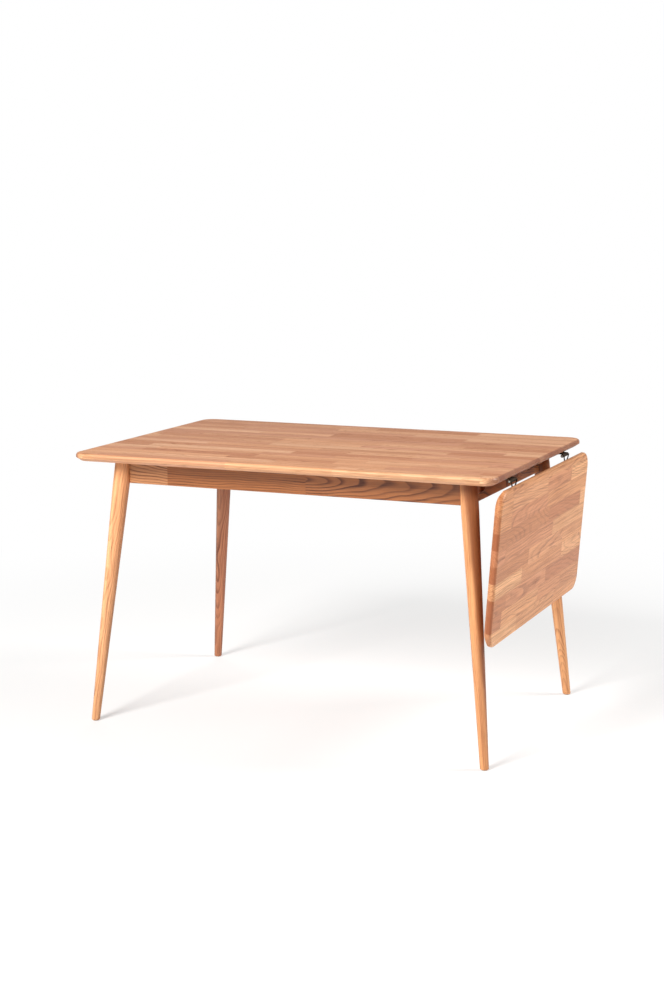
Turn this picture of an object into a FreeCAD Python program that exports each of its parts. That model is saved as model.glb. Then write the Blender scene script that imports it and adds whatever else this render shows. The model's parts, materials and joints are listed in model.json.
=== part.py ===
"""Oak dining table with one drop leaf on its right-hand end.

Frame: +Z up with the floor at zero, +X towards the leaf, -Y the long front side.  The origin is
on the floor under the middle of the whole table as it stands with its leaf hanging.
"""
import FreeCAD
import Part
import Sketcher
import math
import os
import re

VECTOR = FreeCAD.Vector
TURN = FreeCAD.Rotation
# Two coordinates closer than this, in millimetres, are the same.
TOUCH = 1e-4

# Driving dimensions in millimetres and degrees.
SIZES = {
    # the two boards
    "table_height": 750,
    "top_length": 1200,
    "top_width": 800,
    "top_thick": 22,
    "top_corner": 40,
    "leaf_length": 400,
    "leaf_set_in": 5,
    "leaf_corner": 45,
    "arris_round": 8,
    "bevel_inset": 14,
    "bevel_rise": 9,
    "bevel_soft": 3,
    # rails under the top
    "rail_inset_left": 109,
    "rail_inset_right": 95,
    "rail_inset_long": 90,
    "rail_depth": 66,
    "rail_thick": 20,
    "rail_edge_round": 2,
    "rail_step": 22,
    "notch_width": 102,
    "notch_round": 6,
    # legs
    "leg_foot_dia": 23,
    "leg_top_dia": 46,
    "leg_knee": 650,
    "leg_shoulder": 20.5,
    "foot_out_x": 69,
    "foot_out_y": 63.5,
    "foot_ease": 1.5,
    "glide_dia": 17,
    "glide_thick": 2,
    # corner braces and their bolts
    "brace_reach": 85,
    "brace_back": 50,
    "brace_depth": 21,
    "brace_lift": 0.5,
    "bolt_dia": 8,
    "bolt_ease": 1,
    "bolt_in_leg": 42,
    "bolt_past_nut": 4,
    "washer_dia": 16,
    "washer_thick": 1.6,
    "nut_flats": 13,
    "nut_thick": 6.5,
    "brace_screw_length": 25,
    "brace_screw_sink": 6,
    "brace_mouth": 12,
    # drop-leaf hinges
    "seam_gap": 0.6,
    "leaf_tilt": 4.5,
    "pivot_back": 5.5,
    "pivot_drop": 6,
    "hinge_y": 236,
    "plate_thick": 2.5,
    "plate_run": 44,
    "plate_flare": 26,
    "barrel_half": 18.6,
    "knuckle_dia": 9,
    "knuckle_gap": 0.4,
    "knuckle_width": 6,
    "knuckle_proud": 0.4,
    "fork_neck": 10,
    "fork_back": 1.5,
    "fork_slot": 5,
    "fork_shoulder": 3,
    "fork_window": 2,
    "fork_throat": 5,
    "pin_dia": 5,
    "pin_proud": 1,
    "plate_screw_edge": 10,
    "plate_screw_wide": 17,
    "plate_screw_narrow": 8,
    # pull-out support bars
    "bar_thick": 22,
    "bar_depth": 43.5,
    "bar_length": 380,
    "bar_proud": 14,
    "bar_top_gap": 0.3,
    "bar_leg_gap": 4,
    "bar_travel": 70,
    "bar_nose_round": 12,
    "slide_gap": 0.2,
    "guide_thick": 20,
    "guide_depth": 38,
    "guide_tail": 180,
    "guide_end_gap": 6,
    "stop_dia": 8,
    "stop_back": 10,
    "stop_drop": 14,
    "stop_in_bar": 25,
    "cross_depth": 20,
    "cross_width": 22,
    "dowel_dia": 8,
    "dowel_length": 24,
    "dowel_pitch": 5,
    # brackets between rails and top
    "bracket_arm": 25,
    "bracket_width": 18,
    "bracket_thick": 2,
    "bracket_hole_out": 16,
    "bracket_outer": 360,
    "bracket_middle": 150,
    "bracket_inner": 60,
    "bracket_left_y": 150,
    "bracket_right_y": 110,
    # wood screws
    "screw_dia": 4,
    "screw_head_dia": 7.6,
    "screw_head_thick": 2.4,
    "screw_crown_dia": 5.4,
    "screw_rim": 1.1,
    "short_screw_length": 15,
    "guide_screw_length": 46,
    "guide_screw_sink": 4,
    "guide_screw_end": 20,
    "screw_play": 0.4,
    "drill_over": 1,
    "fit": 0.05,
}

# Lengths that follow from the driving dimensions, each written as a formula.
DERIVED = {
    "underside": "table_height - top_thick",
    "bevel_to_hinge": "pivot_back + seam_gap",
    "leaf_overhang": "(top_thick + pivot_drop - arris_round) * cos(leaf_tilt) + arris_round"
                     " - (bevel_to_hinge + arris_round) * sin(leaf_tilt) - pivot_back",
    "table_mid": "0 - leaf_overhang / 2",
    "top_east": "table_mid + top_length / 2",
    "top_west": "table_mid - top_length / 2",
    "top_side": "top_width / 2",
    "leaf_side": "top_side - leaf_set_in",
    "rail_bottom": "underside - rail_depth",
    "rail_half": "underside - rail_depth / 2",
    "rail_east": "top_east - rail_inset_right",
    "rail_west": "top_west + rail_inset_left",
    "rail_side": "top_side - rail_inset_long",
    "inner_east": "rail_east - rail_thick",
    "inner_west": "rail_west + rail_thick",
    "inner_side": "rail_side - rail_thick",
    "post_east": "rail_east - leg_shoulder",
    "post_west": "rail_west + leg_shoulder",
    "post_side": "rail_side - leg_shoulder",
    "step_top": "rail_bottom + rail_step",
    "notch_side": "post_side - notch_width",
    "brace_bottom": "rail_bottom + brace_lift",
    "bolt_height": "brace_bottom + brace_depth / 2",
    "brace_screw_at": "(brace_reach + brace_back) / 2",
    "bolt_length": "bolt_in_leg + brace_reach * sqrt(2) / 2 + washer_thick + nut_thick + bolt_past_nut",
    "pivot_x": "top_east - pivot_back",
    "pivot_z": "underside - pivot_drop",
    "plate_arris": "bevel_to_hinge + bevel_inset",
    "fork_half": "barrel_half + knuckle_gap + knuckle_width",
    "fork_inner": "barrel_half + knuckle_gap",
    "pin_length": "2 * (fork_half + pin_proud)",
    "bar_tip": "rail_east + bar_proud",
    "bar_tail": "bar_tip - bar_length",
    "bar_top": "underside - bar_top_gap",
    "bar_bottom": "bar_top - bar_depth",
    "bar_outer": "post_side - bar_leg_gap",
    "bar_inner": "bar_outer - bar_thick",
    "stop_x": "bar_tail + stop_back",
    "guide_outer": "bar_inner - 2 * slide_gap",
    "guide_inner": "guide_outer - guide_thick",
    "guide_end": "inner_east - guide_end_gap",
    "guide_bottom": "underside - guide_depth",
    "cross_top": "bar_bottom - slide_gap",
    "cross_west": "stop_x + stop_dia / 2 + bar_travel + slide_gap",
    "cross_mid": "cross_west + cross_width / 2",
    "cross_half": "cross_top - cross_depth / 2",
    "bracket_hole_down": "underside - bracket_hole_out",
}

doc = FreeCAD.newDocument("drop_leaf_table")
sheet = doc.addObject("Spreadsheet::Sheet", "sizes")
for row, (name, number) in enumerate(SIZES.items(), start=1):
    sheet.set(f"A{row}", name.replace("_", " "))
    sheet.set(f"B{row}", str(number))
    sheet.setAlias(f"B{row}", name)
doc.recompute()

finished = []


def formula(text):
    """Write a formula out in the sheet's own cells."""
    def swap(match):
        word = match.group(0)
        if word in DERIVED:
            return f"({formula(DERIVED[word])})"
        return f"sizes.{word}" if word in SIZES else word
    return re.sub(r"[a-z_]+", swap, str(text))


def value(text):
    """Number that a formula gives with the sheet as it stands."""
    return float(sheet.evalExpression(formula(text)))


def point(x, y, z):
    """Vector at three formulas."""
    return VECTOR(value(x), value(y), value(z))


def bind(thing, prop, text):
    """Tie one property of an object to a formula."""
    thing.setExpression(prop, formula(text))


def keep(thing, label):
    """Name a finished piece and list it for writing."""
    thing.Label = label
    finished.append(thing)
    return thing


def new_body(label):
    """Empty body that becomes one piece of the table."""
    return keep(doc.addObject("PartDesign::Body", label), label)


def new_sketch(body, plane, offset):
    """Sketch on one of the body's own planes, moved along its normal."""
    sketch = body.newObject("Sketcher::SketchObject", f"{body.Name}_sketch")
    planes = {feature.Role: feature for feature in body.Origin.OriginFeatures}
    sketch.AttachmentSupport = (planes[plane], "")
    sketch.MapMode = "FlatFace"
    bind(sketch, "AttachmentOffset.Base.z", offset)
    return sketch


def pin_point(sketch, line, end, across, up):
    """Hold one point of a sketch at two formulas measured from the sketch's origin."""
    for kind, text in (("DistanceX", across), ("DistanceY", up)):
        index = sketch.addConstraint(Sketcher.Constraint(kind, -1, 1, line, end, value(text)))
        bind(sketch, f"Constraints[{index}]", text)


def draw_outline(sketch, corners):
    """Closed outline of straight lines through corners given as pairs of formulas."""
    spots = [VECTOR(value(across), value(up), 0) for across, up in corners]
    for index, spot in enumerate(spots):
        after = spots[(index + 1) % len(spots)]
        sketch.addGeometry(Part.LineSegment(spot, after), False)
    for index, (across, up) in enumerate(corners):
        after = (index + 1) % len(corners)
        sketch.addConstraint(Sketcher.Constraint("Coincident", index, 2, after, 1))
        pin_point(sketch, index, 1, across, up)


def draw_circles(sketch, centres, diameter):
    """Circles of one diameter about centres given as pairs of formulas."""
    for index, (across, up) in enumerate(centres):
        middle = VECTOR(value(across), value(up), 0)
        circle = Part.Circle(middle, VECTOR(0, 0, 1), value(diameter) / 2)
        sketch.addGeometry(circle, False)
        pin_point(sketch, index, 3, across, up)
        row = sketch.addConstraint(Sketcher.Constraint("Diameter", index, value(diameter)))
        bind(sketch, f"Constraints[{row}]", diameter)


def pad(body, sketch, depth):
    """Solid grown from a sketch along its normal."""
    feature = body.newObject("PartDesign::Pad", f"{body.Name}_pad")
    feature.Profile = sketch
    bind(feature, "Length", depth)
    doc.recompute()
    return feature


def pocket(body, sketch, depth, along_normal=False):
    """Cut made from a sketch, against its normal unless told otherwise."""
    before = body.Shape.Volume
    feature = body.newObject("PartDesign::Pocket", f"{body.Name}_pocket")
    feature.Profile = sketch
    feature.Reversed = along_normal
    bind(feature, "Length", depth)
    doc.recompute()
    if not body.Shape.Volume < before:
        raise RuntimeError(f"{body.Label}: a pocket cuts nothing")
    return feature


def block(label, west, east, south, north, bottom, depth):
    """Body that starts as a plain rectangular block."""
    body = new_body(label)
    sketch = new_sketch(body, "XY_Plane", bottom)
    draw_outline(sketch, [(west, south), (east, south), (east, north), (west, north)])
    pad(body, sketch, depth)
    return body


def edges_where(body, test):
    """Names of the body's edges whose box passes a test."""
    edges = body.Shape.Edges
    return [f"Edge{index}" for index, edge in enumerate(edges, start=1) if test(edge.BoundBox)]


def round_edges(body, names, radius):
    """Fillet on named edges of the body's last feature."""
    last = body.Tip
    feature = body.newObject("PartDesign::Fillet", f"{body.Name}_fillet")
    feature.Base = (last, names)
    bind(feature, "Radius", radius)
    doc.recompute()
    if "Invalid" in feature.State:
        raise RuntimeError(f"{body.Label}: a fillet fails")


def is_at(number, text):
    """True when a coordinate lies at a formula's value."""
    return abs(number - value(text)) < TOUCH


def bore(body, diameter, length, base, direction):
    """Round hole from a base point of three formulas along a fixed direction."""
    before = body.Shape.Volume
    hole = body.newObject("PartDesign::SubtractiveCylinder", f"{body.Name}_bore")
    bind(hole, "Radius", f"({diameter}) / 2")
    bind(hole, "Height", length)
    hole.Placement = FreeCAD.Placement(point(*base), TURN(VECTOR(0, 0, 1), VECTOR(*direction)))
    for axis, text in zip("xyz", base):
        bind(hole, f"Placement.Base.{axis}", text)
    doc.recompute()
    if not body.Shape.Volume < before:
        raise RuntimeError(f"{body.Label}: a bore cuts nothing")
    return hole


def place_along_y(cylinder, base):
    """Lay a cylinder along +Y from a base point of three formulas."""
    cylinder.Placement = FreeCAD.Placement(point(*base), TURN(VECTOR(0, 0, 1), VECTOR(0, 1, 0)))
    for axis, text in zip("xyz", base):
        bind(cylinder, f"Placement.Base.{axis}", text)
    doc.recompute()


def solid_of_revolution(profile):
    """Solid turned about Z from pairs of radius and height, top first."""
    spots = [VECTOR(radius, 0, height) for radius, height in profile]
    wire = Part.makePolygon(spots + [spots[0]])
    return Part.Face(wire).revolve(VECTOR(0, 0, 0), VECTOR(0, 0, 1), 360)


def pan_screw(length):
    """Pan-head wood screw that points down from the underside of its head at the origin."""
    shank = value("screw_dia") / 2
    head = value("screw_head_dia") / 2
    rise = value("screw_head_thick")
    return solid_of_revolution([
        (0, rise), (value("screw_crown_dia") / 2, rise), (head, value("screw_rim")), (head, 0),
        (shank, 0), (shank, shank - length), (0, -length),
    ])


def group(label, solid, places):
    """One node that holds a copy of a solid at each place, given as a base and a direction."""
    copies = []
    for base, direction in places:
        copy = solid.copy()
        turn = TURN(VECTOR(0, 0, -1), VECTOR(*direction))
        copy.Placement = FreeCAD.Placement(VECTOR(base), turn)
        copies.append(copy)
    feature = doc.addObject("Part::Feature", label)
    feature.Shape = Part.makeCompound(copies)
    return keep(feature, label)


# Places shared by mating pieces ------------------------------------------------------------

SIDES = {"front": "-1", "back": "1"}
ENDS = {"left": "-1", "right": "1"}

# Rail brackets: along the side rails (x, side) and along the end rails (end, y).
SIDE_BRACKETS = [
    (f"table_mid - {name}", side)
    for side in SIDES.values()
    for name in ("bracket_outer", "bracket_middle", "(-1) * bracket_inner")
]
END_BRACKETS = [
    (end, f"{sign} * bracket_{name}_y")
    for name, end in ENDS.items()
    for sign in SIDES.values()
]


def plate_holes(first, second):
    """Four screw centres of a hinge plate, as (distance from the arris, distance across)."""
    return [
        (first, "plate_screw_narrow"), (first, "0 - plate_screw_narrow"),
        (second, "plate_screw_wide"), (second, "0 - plate_screw_wide"),
    ]


NEAR_ARRIS = "plate_screw_edge"
FAR_FROM_ARRIS = "plate_run - plate_screw_edge"
HINGE_HOLES = plate_holes(NEAR_ARRIS, FAR_FROM_ARRIS)

# Screw centres under the fixed top, in plan.
hinge_top_screws = [
    (f"top_east - bevel_inset - ({back})", f"{side} * hinge_y + {across}")
    for side in SIDES.values()
    for back, across in HINGE_HOLES
]
side_bracket_screws = [
    (x, f"{side} * (inner_side - bracket_hole_out)") for x, side in SIDE_BRACKETS
]
end_bracket_screws = [
    (("inner_west + bracket_hole_out" if end == "-1" else "inner_east - bracket_hole_out"), y)
    for end, y in END_BRACKETS
]
guide_screw_x = [
    "guide_tail + guide_screw_end", "(guide_tail + guide_end) / 2", "guide_end - guide_screw_end"]
guide_screws = [
    (x, f"{side} * (guide_outer + guide_inner) / 2")
    for side in SIDES.values()
    for x in guide_screw_x
]
# Screw centres under the leaf, in the hinge's own frame.
hinge_leaf_screws = [
    (f"plate_arris + {out}", f"{side} * hinge_y + {across}")
    for side in SIDES.values()
    for out, across in HINGE_HOLES
]


# The two boards ----------------------------------------------------------------------------

def edged_board(label, west, east, south, north, bottom, corner):
    """Board with round corners, a rounded top arris and a wide bevel below."""
    body = block(label, west, east, south, north, bottom, "top_thick")
    upright = edges_where(body, lambda box: box.ZLength > value("top_thick") - TOUCH)
    round_edges(body, upright, corner)
    low = edges_where(body, lambda box: is_at(box.ZMax, bottom))
    last = body.Tip
    bevel = body.newObject("PartDesign::Chamfer", f"{label}_bevel")
    bevel.Base = (last, low)
    bevel.ChamferType = "Two distances"
    bind(bevel, "Size", "bevel_rise")
    bind(bevel, "Size2", "bevel_inset")
    doc.recompute()
    high = edges_where(body, lambda box: is_at(box.ZMin, f"{bottom} + top_thick"))
    round_edges(body, high, "arris_round")
    waist = edges_where(
        body, lambda box: box.ZLength < TOUCH and is_at(box.ZMax, f"{bottom} + bevel_rise"))
    round_edges(body, waist, "bevel_soft")
    return body


def pilot_holes(body, level, centres, depth):
    """Blind screw holes drilled upwards into the underside of a board."""
    sketch = new_sketch(body, "XY_Plane", level)
    draw_circles(sketch, centres, "screw_dia + 2 * fit")
    pocket(body, sketch, depth, along_normal=True)


tabletop = edged_board(
    "tabletop", "top_west", "top_east", "0 - top_side", "top_side", "underside", "top_corner")
pilot_holes(
    tabletop, "underside", hinge_top_screws + side_bracket_screws + end_bracket_screws,
    "short_screw_length")
pilot_holes(
    tabletop, "underside", guide_screws,
    "guide_screw_length - guide_depth + guide_screw_sink + screw_head_thick + drill_over")

leaf_board = edged_board(
    "leaf_board", "bevel_to_hinge", "bevel_to_hinge + leaf_length", "0 - leaf_side", "leaf_side",
    "pivot_drop", "leaf_corner")
pilot_holes(leaf_board, "pivot_drop", hinge_leaf_screws, "short_screw_length")


def hang(piece):
    """Turn a piece modelled for the raised leaf about the pivot into the hanging pose."""
    piece.Placement = FreeCAD.Placement(
        point("pivot_x", "0", "pivot_z"), TURN(VECTOR(0, 1, 0), 90 + value("leaf_tilt")))
    bind(piece, "Placement.Base.x", "pivot_x")
    bind(piece, "Placement.Base.z", "pivot_z")
    bind(piece, "Placement.Rotation.Angle", "90 + leaf_tilt")


hang(leaf_board)


# Rails -------------------------------------------------------------------------------------

def soften_rail(body):
    """Ease the long lower edges of a rail."""
    low = edges_where(
        body, lambda box: is_at(box.ZMax, "rail_bottom") and box.DiagonalLength > value("rail_depth"))
    round_edges(body, low, "rail_edge_round")


side_rails = {}
for name, side in SIDES.items():
    faces = [f"{side} * rail_side", f"{side} * inner_side"]
    south, north = faces if name == "front" else faces[::-1]
    rail = block(
        f"side_rail_{name}", "post_west", "post_east", south, north, "rail_bottom", "rail_depth")
    soften_rail(rail)
    side_rails[side] = rail
    toward_rail = (0, int(side), 0)
    for x, bracket_side in SIDE_BRACKETS:
        if bracket_side == side:
            bore(rail, "screw_dia + 2 * fit", "short_screw_length - bracket_thick + drill_over",
                 (x, f"{side} * inner_side", "bracket_hole_down"), toward_rail)
    for shift in ("-1", "1"):
        bore(rail, "dowel_dia + 2 * fit", "dowel_length / 2 + drill_over",
             (f"cross_mid + {shift} * dowel_pitch", f"{side} * inner_side", "cross_half"), toward_rail)

end_rail_left = block(
    "end_rail_left", "rail_west", "inner_west", "0 - post_side", "post_side", "rail_bottom",
    "rail_depth")
soften_rail(end_rail_left)

end_rail_right = new_body("end_rail_right")
stepped = new_sketch(end_rail_right, "YZ_Plane", "inner_east")
draw_outline(stepped, [
    ("0 - post_side", "rail_bottom"), ("post_side", "rail_bottom"), ("post_side", "step_top"),
    ("notch_side", "step_top"), ("notch_side", "underside"), ("0 - notch_side", "underside"),
    ("0 - notch_side", "step_top"), ("0 - post_side", "step_top"),
])
pad(end_rail_right, stepped, "rail_thick")
inner_corners = edges_where(
    end_rail_right, lambda box: is_at(box.ZMin, "step_top") and is_at(box.ZMax, "step_top")
    and box.YLength < TOUCH and is_at(abs(box.YMax), "notch_side"))
round_edges(end_rail_right, inner_corners, "notch_round")
soften_rail(end_rail_right)
end_rails = {"-1": end_rail_left, "1": end_rail_right}

for rail, end, face in ((end_rail_left, "-1", "inner_west"), (end_rail_right, "1", "inner_east")):
    for bracket_end, y in END_BRACKETS:
        if bracket_end == end:
            bore(rail, "screw_dia + 2 * fit", "short_screw_length - bracket_thick + drill_over",
                 (face, y, "bracket_hole_down"), (int(end), 0, 0))


# Legs and their fixings --------------------------------------------------------------------

# Each corner: its name, the signs of X and Y, and the faces that meet there.
CORNERS = [
    (f"{side_name}_{end_name}", end, side,
     "rail_west" if end == "-1" else "rail_east",
     "post_west" if end == "-1" else "post_east",
     "inner_west" if end == "-1" else "inner_east")
    for side_name, side in SIDES.items()
    for end_name, end in ENDS.items()
]


def leg_centre(end, side, corner, height):
    """Centre of a leg's round section at a height: on a line from rail corner to foot."""
    share = f"(rail_half - ({height})) / rail_half"
    return (f"{corner} + {end} * foot_out_x * {share}",
            f"{side} * (rail_side + foot_out_y * {share})")


def build_leg(name, end, side, corner, post):
    """Round leg, tapered to the foot and splayed both ways, with two flats for the rails."""
    body = new_body(f"leg_{name}")
    sections = []
    stations = (
        ("glide_thick", "leg_foot_dia - 2 * foot_ease"),
        ("glide_thick + foot_ease", "leg_foot_dia"),
        ("leg_knee", "leg_top_dia"),
        ("underside", "leg_top_dia"),
    )
    for height, diameter in stations:
        section = new_sketch(body, "XY_Plane", height)
        draw_circles(section, [leg_centre(end, side, corner, height)], diameter)
        sections.append(section)
    loft = body.newObject("PartDesign::AdditiveLoft", f"{body.Name}_loft")
    loft.Profile = sections[0]
    loft.Sections = sections[1:]
    loft.Ruled = True
    doc.recompute()
    flats = new_sketch(body, "XY_Plane", "underside")
    inner_x, outer_x = f"{post} - {end} * 2 * leg_top_dia", f"{post} + {end} * 2 * leg_top_dia"
    inner_y = f"{side} * (post_side - 2 * leg_top_dia)"
    outer_y = f"{side} * (post_side + 2 * leg_top_dia)"
    draw_outline(flats, [
        (inner_x, outer_y), (post, outer_y), (post, f"{side} * post_side"),
        (outer_x, f"{side} * post_side"), (outer_x, inner_y), (inner_x, inner_y),
    ])
    pocket(body, flats, "rail_depth")
    return body


def along_diagonal(end, side, inner, distance):
    """Point on a corner's diagonal, a distance from the rails' inner corner into the frame."""
    return (f"{inner} - {end} * ({distance}) * sqrt(2) / 2",
            f"{side} * (inner_side - ({distance}) * sqrt(2) / 2)", "bolt_height")


bolt_places = []
washer_places = []
nut_places = []
brace_screw_places = []
for name, end, side, corner, post, inner in CORNERS:
    outward = (int(end), int(side), 0)
    leg = build_leg(name, end, side, corner, post)
    bore(leg, "bolt_dia + 2 * fit", "bolt_in_leg + drill_over",
         along_diagonal(end, side, inner, "0"), outward)
    # The bolt enters where the two rails' ends meet, so each gives it way.
    for rail in (side_rails[side], end_rails[end]):
        bore(rail, "bolt_dia + 2 * screw_play", "2 * bolt_dia",
             along_diagonal(end, side, inner, "bolt_dia"), outward)

    brace = new_body(f"corner_brace_{name}")
    outline = new_sketch(brace, "XY_Plane", "brace_bottom")
    draw_outline(outline, [
        (f"{inner} - {end} * brace_back", f"{side} * inner_side"),
        (f"{inner} - {end} * brace_reach", f"{side} * inner_side"),
        (inner, f"{side} * (inner_side - brace_reach)"),
        (inner, f"{side} * (inner_side - brace_back)"),
    ])
    pad(brace, outline, "brace_depth")
    bore(brace, "bolt_dia + 2 * screw_play", "brace_reach",
         along_diagonal(end, side, inner, "brace_reach"), outward)
    # One screw into the side rail and one into the end rail, heads sunk into the slanting face.
    face_at = "brace_reach - brace_screw_at"
    head_at = f"{face_at} - brace_screw_sink"
    across_x = f"{inner} - {end} * brace_screw_at"
    across_y = f"{side} * (inner_side - brace_screw_at)"
    screw_lines = (
        (side_rails[side], (0, int(side), 0),
         lambda off: (across_x, f"{side} * (inner_side - ({off}))", "bolt_height")),
        (end_rails[end], (int(end), 0, 0),
         lambda off: (f"{inner} - {end} * ({off})", across_y, "bolt_height")),
    )
    for rail, direction, spot in screw_lines:
        mouth = f"{face_at} + brace_mouth"
        bore(brace, "screw_head_dia + 2 * screw_play", "brace_screw_sink + brace_mouth",
             spot(mouth), direction)
        bore(brace, "screw_dia + 2 * fit", f"{head_at} + drill_over", spot(head_at), direction)
        bore(rail, "screw_dia + 2 * fit", f"brace_screw_length - ({head_at}) + drill_over",
             spot("0"), direction)
        brace_screw_places.append((point(*spot(head_at)), direction))

    glide = new_body(f"foot_glide_{name}")
    disc = new_sketch(glide, "XY_Plane", "0")
    draw_circles(disc, [leg_centre(end, side, corner, "0")], "glide_dia")
    pad(glide, disc, "glide_thick")
    round_edges(glide, edges_where(glide, lambda box: is_at(box.ZMax, "0")), "glide_thick / 2")

    face = "brace_reach * sqrt(2) / 2"
    bolt_places.append((point(*along_diagonal(end, side, inner, "0 - bolt_in_leg")), outward))
    washer_places.append((point(*along_diagonal(end, side, inner, face)), outward))
    nut_places.append((point(*along_diagonal(end, side, inner, f"{face} + washer_thick")), outward))


def bolt_solid():
    """Hanger bolt with its tip at the origin, running up from it."""
    radius = value("bolt_dia") / 2
    length = value("bolt_length")
    ease = value("bolt_ease")
    return solid_of_revolution([
        (0, length), (radius - ease, length), (radius, length - ease), (radius, radius), (0, 0)])


def washer_solid():
    """Flat washer standing on the origin."""
    thick = value("washer_thick")
    disc = Part.makeCylinder(value("washer_dia") / 2, thick)
    return disc.cut(Part.makeCylinder(value("bolt_dia / 2 + fit"), thick))


def nut_solid():
    """Hexagon nut standing on the origin."""
    across = value("nut_flats") / 3 ** 0.5
    corners = [VECTOR(across, 0, 0)]
    turn = TURN(VECTOR(0, 0, 1), 60)
    for _ in range(6):
        corners.append(turn.multVec(corners[-1]))
    prism = Part.Face(Part.makePolygon(corners)).extrude(VECTOR(0, 0, value("nut_thick")))
    return prism.cut(Part.makeCylinder(value("bolt_dia / 2 + fit"), value("nut_thick")))


group("hanger_bolts", bolt_solid(), bolt_places)
group("brace_washers", washer_solid(), washer_places)
group("brace_nuts", nut_solid(), nut_places)
group("brace_screws", pan_screw(value("brace_screw_length")), brace_screw_places)


# Brackets that tie the rails to the top ------------------------------------------------------

def bracket_solid():
    """Angle bracket with its inner corner at the origin, arms down and towards +X."""
    arm = value("bracket_arm")
    width = value("bracket_width")
    thick = value("bracket_thick")
    out = value("bracket_hole_out")
    hole = value("screw_dia / 2 + screw_play")
    flat = Part.makeBox(arm, width, thick, VECTOR(0, -width / 2, -thick))
    upright = Part.makeBox(thick, width, arm, VECTOR(0, -width / 2, -arm))
    angle = flat.fuse(upright).removeSplitter()
    angle = angle.cut(Part.makeCylinder(hole, thick, VECTOR(out, 0, -thick)))
    return angle.cut(Part.makeCylinder(hole, thick, VECTOR(0, 0, -out), VECTOR(1, 0, 0)))


bracket_copies = []
bracket_screw_places = []
bracket_spots = [
    (point(x, f"{side} * inner_side", "underside"), VECTOR(0, -int(side), 0))
    for x, side in SIDE_BRACKETS
] + [
    (point("inner_west" if end == "-1" else "inner_east", y, "underside"), VECTOR(-int(end), 0, 0))
    for end, y in END_BRACKETS
]
for corner, inward in bracket_spots:
    copy = bracket_solid()
    turn = TURN(VECTOR(0, 0, 1), math.degrees(math.atan2(inward.y, inward.x)))
    copy.Placement = FreeCAD.Placement(corner, turn)
    bracket_copies.append(copy)
    thick = value("bracket_thick")
    out = value("bracket_hole_out")
    up_head = corner + inward * out + VECTOR(0, 0, -thick)
    side_head = corner + inward * thick + VECTOR(0, 0, -out)
    bracket_screw_places.append((up_head, (0, 0, 1)))
    bracket_screw_places.append((side_head, tuple(inward * -1)))
brackets = doc.addObject("Part::Feature", "top_brackets")
brackets.Shape = Part.makeCompound(bracket_copies)
keep(brackets, "top_brackets")
group("bracket_screws", pan_screw(value("short_screw_length")), bracket_screw_places)


# Drop-leaf hinges ----------------------------------------------------------------------------

def add_knuckle(body, base, length):
    """Round knuckle along Y that joins a hinge plate to its pin."""
    barrel = body.newObject("PartDesign::AdditiveCylinder", f"{body.Name}_knuckle")
    bind(barrel, "Radius", "knuckle_dia / 2")
    bind(barrel, "Height", length)
    place_along_y(barrel, base)


def fork_edge(middle, across):
    """One half of the forked plate's outline, from its flared end round to the fork's throat."""
    return [
        ("plate_arris + plate_run", f"{middle} + {across} * plate_flare"),
        ("plate_arris + fork_shoulder", f"{middle} + {across} * fork_neck"),
        ("0 - fork_back", f"{middle} + {across} * fork_half"),
        ("0 - fork_back", f"{middle} + {across} * fork_inner"),
        ("fork_throat", f"{middle} + {across} * fork_inner"),
        ("plate_arris - fork_window", f"{middle} + {across} * fork_slot"),
    ]


for name, side in SIDES.items():
    middle = f"{side} * hinge_y"

    top_plate = new_body(f"hinge_top_plate_{name}")
    flare = new_sketch(top_plate, "XY_Plane", "underside - plate_thick")
    arris = "top_east - bevel_inset"
    draw_outline(flare, [
        (f"{arris} - plate_run", f"{middle} - plate_flare"), (arris, f"{middle} - barrel_half"),
        ("pivot_x", f"{middle} - barrel_half"), ("pivot_x", f"{middle} + barrel_half"),
        (arris, f"{middle} + barrel_half"), (f"{arris} - plate_run", f"{middle} + plate_flare"),
    ])
    pad(top_plate, flare, "plate_thick")
    add_knuckle(top_plate, ("pivot_x", f"{middle} - barrel_half", "pivot_z"), "2 * barrel_half")
    bore(top_plate, "pin_dia + 2 * fit", "2 * (barrel_half + drill_over)",
         ("pivot_x", f"{middle} - barrel_half - drill_over", "pivot_z"), (0, 1, 0))
    holes = new_sketch(top_plate, "XY_Plane", "underside")
    draw_circles(
        holes, [(f"{arris} - ({back})", f"{middle} + {across}") for back, across in HINGE_HOLES],
        "screw_dia + 2 * screw_play")
    pocket(top_plate, holes, "plate_thick")

    # The leaf's plate is modelled with the leaf raised and the pivot at the body's origin.
    leaf_plate = new_body(f"hinge_leaf_plate_{name}")
    fork = new_sketch(leaf_plate, "XY_Plane", "pivot_drop - plate_thick")
    draw_outline(fork, fork_edge(middle, "1") + fork_edge(middle, "-1")[::-1])
    pad(leaf_plate, fork, "plate_thick")
    add_knuckle(
        leaf_plate, ("0", f"{middle} - fork_half - knuckle_proud", "0"), "knuckle_width + knuckle_proud")
    add_knuckle(leaf_plate, ("0", f"{middle} + fork_inner", "0"), "knuckle_width + knuckle_proud")
    bore(leaf_plate, "pin_dia + 2 * fit", "2 * (fork_half + drill_over)",
         ("0", f"{middle} - fork_half - drill_over", "0"), (0, 1, 0))
    holes = new_sketch(leaf_plate, "XY_Plane", "pivot_drop")
    draw_circles(
        holes, [(f"plate_arris + {out}", f"{middle} + {across}") for out, across in HINGE_HOLES],
        "screw_dia + 2 * screw_play")
    pocket(leaf_plate, holes, "plate_thick")
    hang(leaf_plate)

    pin = doc.addObject("Part::Cylinder", f"hinge_pin_{name}")
    bind(pin, "Radius", "pin_dia / 2")
    bind(pin, "Height", "pin_length")
    place_along_y(pin, ("pivot_x", f"{middle} - pin_length / 2", "pivot_z"))
    keep(pin, f"hinge_pin_{name}")

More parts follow.
